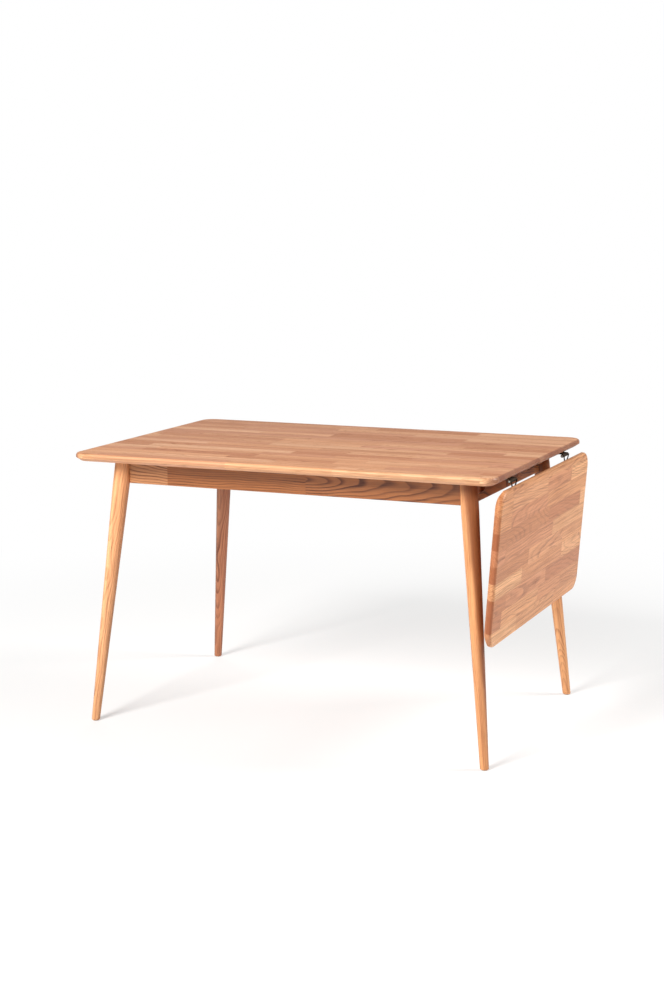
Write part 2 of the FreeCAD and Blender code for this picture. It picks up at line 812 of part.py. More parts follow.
group("hinge_screws_top", pan_screw(value("short_screw_length")), [
    (point(x, y, "underside - plate_thick"), (0, 0, 1)) for x, y in hinge_top_screws])
leaf_screws = group("hinge_screws_leaf", pan_screw(value("short_screw_length")), [
    (point(x, y, "pivot_drop - plate_thick"), (0, 0, 1)) for x, y in hinge_leaf_screws])
leaf_screws.Placement = leaf_board.Placement


# Pull-out support bars -------------------------------------------------------------------------

cross_rail = block(
    "cross_rail", "cross_west", "cross_west + cross_width", "0 - inner_side", "inner_side",
    "cross_top - cross_depth", "cross_depth")
dowel_places = []
for name, side in SIDES.items():
    faces = [f"{side} * bar_outer", f"{side} * bar_inner"]
    south, north = faces if name == "front" else faces[::-1]
    bar = block(f"support_bar_{name}", "bar_tail", "bar_tip", south, north, "bar_bottom", "bar_depth")
    nose = edges_where(bar, lambda box: is_at(box.XMin, "bar_tip") and is_at(box.ZMax, "bar_bottom"))
    round_edges(bar, nose, "bar_nose_round")
    bar_middle = f"{side} * (bar_outer + bar_inner) / 2"
    bore(bar, "stop_dia + 2 * fit", "stop_in_bar + drill_over",
         ("stop_x", bar_middle, "bar_bottom"), (0, 0, 1))

    stop = doc.addObject("Part::Cylinder", f"bar_stop_{name}")
    bind(stop, "Radius", "stop_dia / 2")
    bind(stop, "Height", "stop_drop + stop_in_bar")
    stop.Placement.Base = point("stop_x", bar_middle, "bar_bottom - stop_drop")
    for axis, text in (("x", "stop_x"), ("y", bar_middle), ("z", "bar_bottom - stop_drop")):
        bind(stop, f"Placement.Base.{axis}", text)
    keep(stop, f"bar_stop_{name}")

    faces = [f"{side} * guide_outer", f"{side} * guide_inner"]
    south, north = faces if name == "front" else faces[::-1]
    guide = block(
        f"bar_guide_{name}", "guide_tail", "guide_end", south, north, "guide_bottom", "guide_depth")
    guide_middle = f"{side} * (guide_outer + guide_inner) / 2"
    for x in guide_screw_x:
        bore(guide, "screw_head_dia + 2 * screw_play", "guide_screw_sink + screw_head_thick",
             (x, guide_middle, "guide_bottom"), (0, 0, 1))
        bore(guide, "screw_dia + 2 * fit", "guide_depth",
             (x, guide_middle, "guide_bottom"), (0, 0, 1))

    for shift in ("-1", "1"):
        mouth = (f"cross_mid + {shift} * dowel_pitch", f"{side} * inner_side", "cross_half")
        bore(cross_rail, "dowel_dia + 2 * fit", "dowel_length / 2 + drill_over", mouth, (0, -int(side), 0))
        start = (mouth[0], f"{side} * (inner_side - dowel_length / 2)", mouth[2])
        dowel_places.append((point(*start), (0, int(side), 0)))

dowel = Part.makeCylinder(value("dowel_dia") / 2, value("dowel_length"), VECTOR(0, 0, 0), VECTOR(0, 0, -1))
group("cross_rail_dowels", dowel, dowel_places)
group("guide_screws", pan_screw(value("guide_screw_length")), [
    (point(x, y, "guide_bottom + guide_screw_sink + screw_head_thick"), (0, 0, 1))
    for x, y in guide_screws])


# Check and write ---------------------------------------------------------------------------------

doc.recompute()
for thing in doc.Objects:
    if "Invalid" in thing.State or "Error" in thing.State:
        raise RuntimeError(f"{thing.Label} failed: {thing.State}")
for piece in finished:
    if piece.Shape.isNull() or not piece.Shape.isValid():
        raise RuntimeError(f"{piece.Label} has no valid shape")
os.makedirs("parts", exist_ok=True)
for piece in finished:
    piece.Shape.exportStep(f"parts/{piece.Label}.step")
print(f"{len(finished)} pieces written")
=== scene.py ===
"""Looks of the oak drop-leaf table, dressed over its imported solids.

Every piece is in metres in the table's own frame: +Z up from the floor, +X towards the drop leaf
and -Y towards the long front side.
"""
import json
import logging
import math
from dataclasses import dataclass, replace
from enum import Enum
from typing import Callable, Mapping, Sequence, Union

import bmesh
import bpy
import numpy as np
from mathutils import Matrix, Vector

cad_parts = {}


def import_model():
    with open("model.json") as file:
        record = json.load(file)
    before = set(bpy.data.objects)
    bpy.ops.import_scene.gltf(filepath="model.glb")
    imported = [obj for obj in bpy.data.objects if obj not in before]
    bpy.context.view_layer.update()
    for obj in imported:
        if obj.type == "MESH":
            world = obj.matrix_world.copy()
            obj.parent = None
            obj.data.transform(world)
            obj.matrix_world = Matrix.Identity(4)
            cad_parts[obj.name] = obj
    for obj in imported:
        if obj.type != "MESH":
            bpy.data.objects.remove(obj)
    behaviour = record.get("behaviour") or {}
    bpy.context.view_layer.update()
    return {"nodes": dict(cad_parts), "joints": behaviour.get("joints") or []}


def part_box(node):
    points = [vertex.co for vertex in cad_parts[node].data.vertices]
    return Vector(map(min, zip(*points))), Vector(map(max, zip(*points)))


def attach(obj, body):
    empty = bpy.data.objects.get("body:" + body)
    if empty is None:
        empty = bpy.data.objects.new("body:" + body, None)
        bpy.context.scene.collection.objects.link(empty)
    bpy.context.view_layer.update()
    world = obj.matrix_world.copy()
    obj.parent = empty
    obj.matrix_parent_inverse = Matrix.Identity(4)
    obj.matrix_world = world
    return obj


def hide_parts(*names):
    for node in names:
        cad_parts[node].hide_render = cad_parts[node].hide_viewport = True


LOG = logging.getLogger("drop_leaf_table")
MM = 0.001
WELD = 1e-6
SHARP = math.radians(32)
EASE_STEPS = 2
RIGHT, BACK = Vector((1, 0, 0)), Vector((0, 1, 0))
UP, DOWN = Vector((0, 0, 1)), Vector((0, 0, -1))
WHITE = (1, 1, 1, 1)
CORNERS = (
    ("front_left", -1, -1), ("front_right", 1, -1), ("back_left", -1, 1), ("back_right", 1, 1),
)

Node, Socket = bpy.types.Node, bpy.types.NodeSocket
Piece, Material = bpy.types.Object, bpy.types.Material
Number = Union[float, "Field"]
Tint = tuple[float, float, float]
Window = tuple[float, float]
Force = tuple[float, float]


def linear(tint: Tint) -> tuple[float, float, float, float]:
    """Turn a written colour of 0 to 255 per channel into a scene-linear one with full alpha."""
    shares = [channel / 255.0 for channel in tint]
    bent = [s / 12.92 if s <= 0.04045 else ((s + 0.055) / 1.055) ** 2.4 for s in shares]
    return (bent[0], bent[1], bent[2], 1.0)


# Shader maths


def by_node(operation: str, swapped: bool = False) -> Callable[..., "Field"]:
    """Make a method that runs one Math node on a field and other numbers, if need be swapped."""

    def run(this: "Field", *others: Number) -> "Field":
        """Run the node."""
        values = (*others, this) if swapped else (this, *others)
        return this.painter.maths(operation, *values)

    return run


@dataclass(frozen=True)
class Field:
    """A number that varies over a surface, written like any other number in an expression."""

    painter: "Painter"
    socket: Socket

    __add__ = by_node("ADD")
    __radd__ = by_node("ADD", swapped=True)
    __sub__ = by_node("SUBTRACT")
    __rsub__ = by_node("SUBTRACT", swapped=True)
    __mul__ = by_node("MULTIPLY")
    __rmul__ = by_node("MULTIPLY", swapped=True)
    __truediv__ = by_node("DIVIDE")
    __abs__ = by_node("ABSOLUTE")
    floor = by_node("FLOOR")
    fraction = by_node("FRACT")
    root = by_node("SQRT")
    most = by_node("MAXIMUM")

    def centred(self) -> "Field":
        """A number from 0 to 1 moved to lie around 0."""
        return self - 0.5

    def rise(self, low: float, high: float) -> "Field":
        """Smooth step from 0 at and below one value to 1 at and above another."""
        stepped = self.painter.node(
            "ShaderNodeMapRange",
            {"interpolation_type": "SMOOTHSTEP"},
            {"Value": self, "From Min": low, "From Max": high},
        )
        return Field(self.painter, stepped.outputs["Result"])


Given = Union[float, Sequence[float], Field, Socket]
Throws = tuple[Field, Field, Field]


class Painter:
    """Lays out the nodes of one material or world."""

    def __init__(self, tree: bpy.types.NodeTree) -> None:
        """Start on an empty tree."""
        self.tree = tree
        tree.nodes.clear()

    def node(
        self,
        kind: str,
        settings: Mapping[str, object] | None = None,
        inputs: Mapping[Union[int, str], Given] | None = None,
    ) -> Node:
        """Add a node.

        Args:
            kind: The node's type.
            settings: Its own settings, set before its sockets.
            inputs: A value or a link for each socket, by index, identifier or name.

        Returns:
            The new node.
        """
        made = self.tree.nodes.new(kind)
        for name, setting in (settings or {}).items():
            setattr(made, name, setting)
        for key, given in (inputs or {}).items():
            socket = self.input_of(made, key)
            source = given.socket if isinstance(given, Field) else given
            if isinstance(source, Socket):
                self.tree.links.new(source, socket)
            else:
                socket.default_value = source
        return made

    @staticmethod
    def input_of(node: Node, key: Union[int, str]) -> Socket:
        """Find an input socket by index, by identifier or, failing that, by name."""
        named = [socket for socket in node.inputs if socket.identifier == key]
        return named[0] if named else node.inputs[key]

    def read(self, kind: str, output: str) -> Field:
        """Add a node without settings and give one of its outputs as a field."""
        return Field(self, self.node(kind).outputs[output])

    def maths(self, operation: str, *values: Number) -> Field:
        """Run one Math node and give its result."""
        made = self.node("ShaderNodeMath", {"operation": operation}, dict(enumerate(values)))
        return Field(self, made.outputs[0])

    def split(self, vector: Socket) -> Throws:
        """Give the three parts of a vector or a colour as fields."""
        parts = self.node("ShaderNodeSeparateXYZ", inputs={"Vector": vector})
        return tuple(Field(self, socket) for socket in parts.outputs)

    def join(self, x: Number, y: Number, z: Number) -> Socket:
        """Make a vector of three numbers."""
        return self.node("ShaderNodeCombineXYZ", inputs={"X": x, "Y": y, "Z": z}).outputs[0]

    def glaze(self, ground: Tint, layers: Sequence[tuple[Field, Tint]]) -> Socket:
        """Lay tints over a ground in turn, each by its own share from 0 to 1."""
        colour = linear(ground)
        for share, tint in layers:
            mixed = self.node(
                "ShaderNodeMix",
                {"data_type": "RGBA"},
                {"Factor_Float": share, "A_Color": colour, "B_Color": linear(tint)},
            )
            colour = mixed.outputs[2]
        return colour

    def cloud(self, where: Socket, detail: float, rough: float) -> Node:
        """Add a noise texture whose place is already scaled."""
        return self.node(
            "ShaderNodeTexNoise",
            inputs={"Vector": where, "Scale": 1.0, "Detail": detail, "Roughness": rough},
        )

    def speckle(self, repeats: Sequence[float], detail: float, rough: float) -> Field:
        """Noise in the piece's own place, with its repeats per metre along each axis."""
        place = self.split(self.node("ShaderNodeTexCoord").outputs["Object"])
        where = self.join(*(part * often for part, often in zip(place, repeats)))
        return Field(self, self.cloud(where, detail, rough).outputs[0])

    def dice(self, count: Field) -> Throws:
        """Three random numbers from 0 to 1 that belong to a whole number."""
        thrown = self.node("ShaderNodeTexWhiteNoise", {"noise_dimensions": "1D"}, {"W": count})
        return self.split(thrown.outputs["Color"])

    def faces(self, normal: Socket, way: Vector) -> Field:
        """How squarely a surface faces a direction or its opposite, from 0 to 1."""
        turned = self.node(
            "ShaderNodeVectorMath", {"operation": "DOT_PRODUCT"}, {0: normal, 1: tuple(way)})
        return abs(Field(self, turned.outputs["Value"]))

    def either(self, share: Field, first: Node, second: Node) -> Node:
        """Mix two shaders, the second by its share."""
        return self.node(
            "ShaderNodeMixShader", inputs={0: share, 1: first.outputs[0], 2: second.outputs[0]})

    def coat(
        self, strength: float, depth: float, height: Field, sockets: Mapping[str, Given]
    ) -> None:
        """Cover the material with one shader over a bump.

        Args:
            strength: Strength of the bump.
            depth: Relief in metres that a height of 1 stands for.
            height: Relief over the surface.
            sockets: Values and links of the shader.
        """
        bump = self.node(
            "ShaderNodeBump", inputs={"Strength": strength, "Distance": depth, "Height": height})
        self.finish(self.node(
            "ShaderNodeBsdfPrincipled", inputs={**sockets, "Normal": bump.outputs[0]}))

    def finish(self, surface: Node) -> None:
        """Join a shader to the material's output."""
        self.node("ShaderNodeOutputMaterial", inputs={"Surface": surface.outputs[0]})


def blank(name: str) -> tuple[Material, Painter]:
    """Make an empty material and its painter."""
    made = bpy.data.materials.new(name)
    made.use_nodes = True
    return made, Painter(made.node_tree)


# Oak


@dataclass(frozen=True)
class Cut:
    """How a piece of wood lies in its log.

    The grain runs along one direction.  The rings are round an axis that lies to one side of the
    piece and some way below its face, and that slants a little against it.
    """

    origin: Vector
    along: Vector
    across: Vector
    pith_aside: float = 0.010
    pith_below: float = 0.045
    slant: float = 0.03
    seed: float = 0.0
    lean: float = 0.0

    def turn(self) -> tuple[float, float, float]:
        """Angles that carry X to the grain and Y across it."""
        face = self.along.cross(self.across)
        columns = Matrix((self.along, self.across, face)).transposed()
        return tuple(columns.to_euler("XYZ"))


@dataclass(frozen=True)
class Grain:
    """A noise drawn out along the grain: its repeats per metre both ways and how busy it is."""

    along: float
    across: float
    detail: float
    rough: float = 0.5
    lifted: bool = True


@dataclass(frozen=True)
class Place:
    """A point in the log, moved on from piece to piece so that no two show the same noise."""

    paint: Painter
    shift: Field
    across: Field
    depth: Field
    lift: Number

    def cloud(self, grain: Grain) -> Node:
        """Add a noise drawn out along the grain."""
        aside = self.across * grain.across
        if grain.lifted:
            aside = aside + self.lift
        where = self.paint.join(self.shift * grain.along, aside, self.depth * grain.across)
        return self.paint.cloud(where, grain.detail, grain.rough)

    def noise(self, grain: Grain) -> Field:
        """Noise from about 0.3 to 0.7 around a half."""
        return Field(self.paint, self.cloud(grain).outputs[0])


@dataclass(frozen=True)
class Lie:
    """A point's place in the log, its ways from the pith and the throws that set its tone."""

    place: Place
    pith_across: Field
    pith_depth: Field
    ring: Number
    throws: Throws
    glue: Field | None = None


@dataclass(frozen=True)
class Staves:
    """Rows of short finger-jointed pieces that make up a glued board."""

    row: float = 0.0425
    length: float = 0.34
    unevenness: float = 0.85
    glue_line: float = 0.00035
    pith_spread: float = 0.13
    pith_below: float = 0.012
    pith_vary: float = 0.05
    slant: float = 0.24
    ring_least: float = 0.8
    ring_vary: float = 0.9
    row_shift: float = 23.0
    start: float = 50.0
    row_mix: float = 3.0
    noise_shift: float = 9.0
    noise_lift: float = 7.0

    def lie(self, spot: Throws, seed: float, ring: float) -> Lie:
        """Divide a glued board into staves, each with its own pith, slant, tone and rings.

        A row is a whole step across the board.  Along a row the ends are the borders of a cell
        pattern of one dimension, moved on by a random amount from row to row.

        Args:
            spot: Place along the grain, across it from the board's edge, and below its face.
            seed: Number that moves the pattern.
            ring: Usual width of a ring.

        Returns:
            How the point lies in its stave's log, with a mask that is 1 in the glue lines.
        """
        along, across, depth = spot
        paint = along.painter
        step = across / self.row
        throws = paint.dice(step.floor() + seed)
        run = along / self.length + throws[0] * self.row_shift + self.start
        cell, border = (
            paint.node(
                "ShaderNodeTexVoronoi",
                {"voronoi_dimensions": "1D", "feature": feature},
                {"W": run, "Scale": 1.0, "Randomness": self.unevenness},
            ).outputs
            for feature in ("F1", "DISTANCE_TO_EDGE")
        )
        picks = paint.split(cell["Color"])
        first, second, third = (
            (pick + throw * self.row_mix).fraction() for pick, throw in zip(picks, throws))
        inner = step.fraction().centred() * self.row
        to_side = self.row / 2 - abs(inner)
        to_end = Field(paint, border["Distance"]) * self.length
        side_line, end_line = (1.0 - way.rise(0.0, self.glue_line) for way in (to_side, to_end))
        local = (run - Field(paint, cell["W"])) * self.length
        tilt = third.centred() * self.slant * local
        return Lie(
            place=Place(
                paint, along + third * self.noise_shift, across, depth, first * self.noise_lift),
            pith_across=inner + first.centred() * self.pith_spread,
            pith_depth=depth + self.pith_below + second * self.pith_vary + tilt,
            ring=ring * (self.ring_least + second * self.ring_vary),
            throws=(first, second, third),
            glue=side_line.most(end_line),
        )


@dataclass(frozen=True)
class Figure:
    """The wood's noises, how they bend its rings, and where and how strongly each mark shows.

    A window holds the values of a field between which a mark goes from none to full.  A force
    holds a mark's least strength and what another field adds to it.
    """

    drift: Grain = Grain(1.3, 14.0, 1.0)
    bend: Grain = Grain(4.5, 12.0, 2.0)
    fibre: Grain = Grain(9.0, 420.0, 3.0, 0.6)
    streak: Grain = Grain(2.4, 150.0, 3.0, 0.6)
    band: Grain = Grain(1.1, 46.0, 1.0)
    dash: Grain = Grain(60.0, 1700.0, 0.0, lifted=False)
    seed_shift: float = 3.7
    seed_lift: float = 1.9
    bend_across: float = 0.024
    bend_depth: float = 0.030
    ring_drift: float = 2.0
    ring_fade: Window = (0.06, 0.62)
    ring_onset: Window = (0.0, 0.10)
    ring_force: Force = (0.3, 0.7)
    pore_window: Window = (0.58, 0.68)
    pore_force: Force = (0.2, 0.8)
    pore_show: float = 0.5
    honey_window: Window = (0.0, 0.9)
    rose_window: Window = (0.3, 1.0)
    brown_window: Window = (0.5, 1.0)
    brown_show: float = 0.7
    band_window: Window = (0.35, 0.7)
    band_force: Force = (0.3, 1.1)
    # Window and strength of the dark wood near the pith, which on two legs is also painted shade.
    heart_and_shade_window: Window = (0.7, 1.5)
    heart_and_shade_show: float = 0.9
    streak_window: Window = (0.36, 0.74)
    # Window of how squarely a face looks across the grain, for the painted edge highlight.
    edge_highlight_window: Window = (0.3, 0.9)
    end_window: Window = (0.2, 0.8)
    glue_show: float = 0.4
    fibre_relief: float = 0.35
    ring_relief: float = 0.2
    fibre_rough: float = 0.18
    pore_rough: float = 0.25
    bump: float = 0.35
    bump_depth: float = 0.0003


@dataclass(frozen=True)
class Marks:
    """What the wood shows at a point, and how far the point is from the pith."""

    reach: Field
    early: Field
    fibre: Field
    streak: Field
    band: Field
    pores: Field


@dataclass(frozen=True)
class Oak:
    """Oiled oak with growth rings, fibres and open pores."""

    pale: Tint = (233, 181, 140)
    honey: Tint = (221, 161, 118)
    rose: Tint = (206, 146, 112)
    brown: Tint = (184, 120, 80)
    line: Tint = (150, 90, 52)
    pore: Tint = (118, 68, 38)
    end: Tint = (162, 96, 56)
    # The heart tint is dark wood near the pith; on two legs it also paints shade.
    heart_and_shade: Tint = (150, 88, 50)
    # The side tint is a painted highlight, laid on faces across the grain such as the top's front
    # edge.
    side: Tint = (250, 208, 160)
    ring: float = 0.0050
    ring_show: float = 0.55
    streak_show: float = 0.46
    band_show: float = 0.26
    fibre_show: float = 1.0
    heart_and_shade_reach: float = 0.0
    end_show: float = 0.18
    end_vary: float = 0.7
    # Strength of the painted edge highlight; 0 leaves it off.
    edge_highlight_show: float = 0.0
    roughness: float = 0.42
    gloss: float = 0.5
    figure: Figure = Figure()

    def dress(self, name: str, cut: Cut, staves: Staves | None = None) -> Material:
        """Make the material of one piece.

        Args:
            name: The material's name.
            cut: How the piece lies in its log.
            staves: The rows of a glued board, or nothing for a piece of one stick.

        Returns:
            The material.
        """
        made, paint = blank(name)
        seen = paint.node("ShaderNodeTexCoord").outputs
        turned = paint.node(
            "ShaderNodeMapping",
            {"vector_type": "TEXTURE"},
            {"Vector": seen["Object"], "Location": tuple(cut.origin), "Rotation": cut.turn()},
        )
        spot = paint.split(turned.outputs[0])
        lie = staves.lie(spot, cut.seed, self.ring) if staves else self.stick_lie(spot, cut)
        marks = self.draw(lie, cut.seed)
        layers = self.tones(lie, marks) + self.lines(marks)
        # Painted highlight: faces across the grain, such as the front edge of the top, are
        # lightened towards the side tint.
        if self.edge_highlight_show:
            sides = paint.faces(seen["Normal"], cut.across).rise(*self.figure.edge_highlight_window)
            layers.append((sides * marks.streak * self.edge_highlight_show, self.side))
        ends = paint.faces(seen["Normal"], cut.along).rise(*self.figure.end_window)
        layers.append((ends * (self.end_show + lie.throws[2] * self.end_vary), self.end))
        height = (
            marks.fibre * self.figure.fibre_relief - marks.early * self.figure.ring_relief
            - marks.pores)
        if lie.glue is not None:
            layers.append((lie.glue * self.figure.glue_show, self.pore))
            height = height - lie.glue
        rough = (
            self.roughness + marks.fibre.centred() * self.figure.fibre_rough
            + marks.pores * self.figure.pore_rough)
        paint.coat(self.figure.bump, self.figure.bump_depth, height, {
            "Base Color": paint.glaze(self.pale, layers),
            "Roughness": rough,
            "Specular IOR Level": self.gloss,
        })
        return made

    def stick_lie(self, spot: Throws, cut: Cut) -> Lie:
        """Lay a piece of one stick in its log, with a tone that drifts along it.

        Noise lies around a half, so twice the noise less a half spreads it over 0 to 1.

        Args:
            spot: Place along the grain, across it and below its face.
            cut: How the piece lies in its log.

        Returns:
            How the point lies in the log.
        """
        along, across, depth = spot
        paint = along.painter
        shift = along + cut.seed * self.figure.seed_shift
        place = Place(paint, shift, across, depth, cut.seed * self.figure.seed_lift)
        drifts = paint.split(place.cloud(self.figure.drift).outputs[1])
        return Lie(
            place=place,
            pith_across=across + cut.pith_aside + cut.lean * along,
            pith_depth=depth + cut.pith_below + cut.slant * along,
            ring=self.ring,
            throws=tuple(drift * 2.0 - 0.5 for drift in drifts),
        )

    def draw(self, lie: Lie, seed: float) -> Marks:
        """Draw the rings, fibres, streaks, bands and pores.

        Rings are equal steps of the distance from the pith: the root of (across squared plus
        depth squared), where noise bends both.  A ring starts sharply and fades.  Pores are the
        peaks of short dashes, and they are thickest where a ring starts.

        Args:
            lie: How the point lies in its log.
            seed: Number that moves the rings' strengths.

        Returns:
            The marks.
        """
        figure, place = self.figure, lie.place
        bend_across, bend_depth, drift = place.paint.split(place.cloud(figure.bend).outputs[1])
        across = lie.pith_across + bend_across.centred() * figure.bend_across
        depth = lie.pith_depth + bend_depth.centred() * figure.bend_depth
        reach = (across * across + depth * depth).root()
        count = reach / lie.ring + drift * figure.ring_drift
        phase = count.fraction()
        force = place.paint.dice(count.floor() + seed)[0]
        early = (1.0 - phase.rise(*figure.ring_fade)) * phase.rise(*figure.ring_onset)
        early = early * (figure.ring_force[0] + force * figure.ring_force[1])
        dense = figure.pore_force[0] + early * figure.pore_force[1]
        return Marks(
            reach=reach,
            early=early,
            fibre=place.noise(figure.fibre),
            streak=place.noise(figure.streak),
            band=place.noise(figure.band),
            pores=place.noise(figure.dash).rise(*figure.pore_window) * dense,
        )

    def tones(self, lie: Lie, marks: Marks) -> list[tuple[Field, Tint]]:
        """Tints of the piece's ground: its throws, its bands and the dark wood near the pith,
        which on two legs is also painted shade.
        """
        figure = self.figure
        first, second, third = lie.throws
        layers = [
            (first.rise(*figure.honey_window), self.honey),
            (second.rise(*figure.rose_window), self.rose),
            (third.rise(*figure.brown_window) * figure.brown_show, self.brown),
            (marks.band.rise(*figure.band_window) * self.band_show, self.brown),
        ]
        # Dark wood near the pith: on the front right leg partly painted shade, on the back right
        # leg a painted shadow of the top.
        if self.heart_and_shade_reach:
            near, far = (self.heart_and_shade_reach * share for share in figure.heart_and_shade_window)
            layers.append(((1.0 - marks.reach.rise(near, far)) * figure.heart_and_shade_show, self.heart_and_shade))
        return layers

    def lines(self, marks: Marks) -> list[tuple[Field, Tint]]:
        """Tints of the rings, streaks and fibres together, and of the pores."""
        figure = self.figure
        least, gain = figure.band_force
        shows = marks.early * self.ring_show * (least + marks.band * gain)
        shows = shows + marks.streak.rise(*figure.streak_window) * self.streak_show
        shows = shows + marks.fibre.centred() * self.fibre_show
        return [(shows.most(0.0), self.line), (marks.pores * figure.pore_show, self.pore)]


# Metal and plastic


@dataclass(frozen=True)
class Hard:
    """Steel or moulded plastic: clouds of wear over its tint, and a fine relief of marks.

    The wear leaves a share of the tint.  Clouds and marks have their repeats per metre, and their
    noises a detail and a roughness.
    """

    tint: Tint
    roughness: float = 0.34
    metallic: float = 1.0
    worn: float = 0.736
    clouds: float = 90.0
    cloud_noise: tuple[float, float] = (3.0, 0.6)
    window: Window = (0.35, 0.68)
    cloud_rough: float = 0.3
    marks: Sequence[float] = (2600.0, 120.0, 2600.0)
    mark_noise: tuple[float, float] = (2.0, 0.6)
    mark_rough: float = 0.2
    bump: float = 0.25
    bump_depth: float = 0.0001

    def dress(self, name: str) -> Material:
        """Make the material."""
        made, paint = blank(name)
        cloud = paint.speckle((self.clouds,) * 3, *self.cloud_noise)
        marks = paint.speckle(self.marks, *self.mark_noise)
        dull = tuple(channel * self.worn for channel in self.tint)
        rough = self.roughness + cloud.centred() * self.cloud_rough
        paint.coat(self.bump, self.bump_depth, marks, {
            "Base Color": paint.glaze(self.tint, [(cloud.rise(*self.window), dull)]),
            "Roughness": rough + marks.centred() * self.mark_rough,
            "Metallic": self.metallic,
        })
        return made


# Surfaces


def skin(name: str, grid: np.ndarray) -> Piece:
    """Make a piece from a grid of points whose rows are closed rings.

    Each cell of the grid is one face, and the last point of a ring joins its first.  The first
    and last rings are closed by one flat face each.

    Args:
        name: The piece's name.
        grid: Points as rows by columns by 3, ordered so that the faces look outwards.

    Returns:
        The new object.
    """
    rows, columns = grid.shape[:2]
    index = np.arange(rows * columns).reshape(rows, columns)
    after = np.roll(index, -1, axis=1)
    cells = np.stack([index[:-1], after[:-1], after[1:], index[1:]], axis=-1).reshape(-1, 4)
    faces = [tuple(cell) for cell in cells.tolist()]
    faces.append(tuple(index[0][::-1].tolist()))
    faces.append(tuple(index[-1].tolist()))
    return shape(name, grid.reshape(-1, 3), faces)


def shape(name: str, points: np.ndarray, faces: Sequence[Sequence[int]]) -> Piece:
    """Make a welded, outward-facing piece, smooth but for its sharp edges."""
    mesh = bpy.data.meshes.new(name)
    mesh.from_pydata(points.tolist(), [], faces)
    work = bmesh.new()
    work.from_mesh(mesh)
    bmesh.ops.remove_doubles(work, verts=work.verts, dist=WELD)
    bmesh.ops.dissolve_degenerate(work, edges=work.edges, dist=WELD)
    bmesh.ops.recalc_face_normals(work, faces=work.faces)
    work.to_mesh(mesh)
    work.free()
    mesh.shade_smooth()
    mesh.set_sharp_from_angle(angle=SHARP)
    made = bpy.data.objects.new(name, mesh)
    bpy.context.scene.collection.objects.link(made)
    return made


def arc(
    centre: tuple[float, float], radius: float, start: float, end: float, steps: int
) -> np.ndarray:
    """Points on a circle: the centre plus the radius times (cosine, sine) of even angles.

    Args:
        centre: The circle's centre.
        radius: Its radius.
        start: First angle in degrees.
        end: Last angle in degrees.
        steps: Number of equal steps.

    Returns:
        Points as (steps + 1) by 2.
    """
    angles = np.radians(np.linspace(start, end, steps + 1))
    return np.column_stack(
        [centre[0] + radius * np.cos(angles), centre[1] + radius * np.sin(angles)])


class Facing(Enum):
    """The axis that a plank's thickness lies along."""

    X = 0
    Y = 1
    Z = 2

    def plane(self) -> tuple[int, int]:
        """The two axes after the thickness axis in turn."""
        return (self.value + 1) % 3, (self.value + 2) % 3


def rectangle(low: Vector, high: Vector, facing: Facing) -> np.ndarray:
    """Outline of a box in the two axes after its thickness axis."""
    a, b = facing.plane()
    return np.array([[low[a], low[b]], [high[a], low[b]], [high[a], high[b]], [low[a], high[b]]])


def plank(
    name: str, outline: np.ndarray, low: Vector, high: Vector, facing: Facing, ease: float
) -> Piece:
    """Make a flat piece with eased edges: an outline carried straight through its thickness.

    Args:
        name: The piece's name.
        outline: Closed outline as N by 2, in the two axes after the thickness axis in turn.
        low: Lowest corner of the piece's box, where the thickness starts.
        high: Highest corner of the box, where the thickness ends.
        facing: Axis of the thickness.
        ease: Width of the small round on its edges.

    Returns:
        The new object.
    """
    a, b = facing.plane()
    points = np.empty((2, len(outline), 3))
    points[:, :, a] = outline[:, 0]
    points[:, :, b] = outline[:, 1]
    points[0, :, facing.value] = low[facing.value]
    points[1, :, facing.value] = high[facing.value]
    made = skin(name, points)
    rounded = made.modifiers.new("ease", "BEVEL")
    rounded.width = ease
    rounded.segments = EASE_STEPS
    rounded.limit_method = "ANGLE"
    rounded.angle_limit = SHARP
    rounded.harden_normals = False
    return made


def settle(piece: Piece, finish: Material, body: str, slot: str, *nodes: str) -> None:
    """Give a piece its finish, let it ride on a body and stand for the solids it covers.

    Args:
        piece: The new piece.
        finish: Its material.
        body: Body that carries it.
        slot: Material slot of the record; not used.
        nodes: CAD nodes that it replaces.
    """
    piece.data.materials.append(finish)
    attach(piece, body)
    if nodes:
        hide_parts(*nodes)


# The boards


@dataclass(frozen=True)
class EdgeShape:
    """Section of a board's edge: a wide bevel below, a short upright and a rounded arris."""

    thick: float = 22 * MM
    bevel_inset: float = 14 * MM
    bevel_rise: float = 9 * MM
    bevel_soft: float = 3 * MM
    arris: float = 8 * MM
    soft_steps: int = 5
    arris_steps: int = 10

    def profile(self) -> np.ndarray:
        """Give the section from the underside to the top.

        The bevel is a straight line.  Arcs tangent to both neighbours join it to the upright, and
        the upright to the top.

        Returns:
            Pairs of inset from the board's outline and height above its underside.
        """
        lean = math.degrees(math.atan2(self.bevel_inset, self.bevel_rise))
        reach = self.bevel_soft * math.tan(math.radians(lean) / 2)
        waist = (self.bevel_soft, self.bevel_rise + reach)
        soft = arc(waist, self.bevel_soft, 180 + lean, 180, self.soft_steps)
        top = arc((self.arris, self.thick - self.arris), self.arris, 180, 90, self.arris_steps)
        return np.vstack([[self.bevel_inset, 0.0], soft, top])


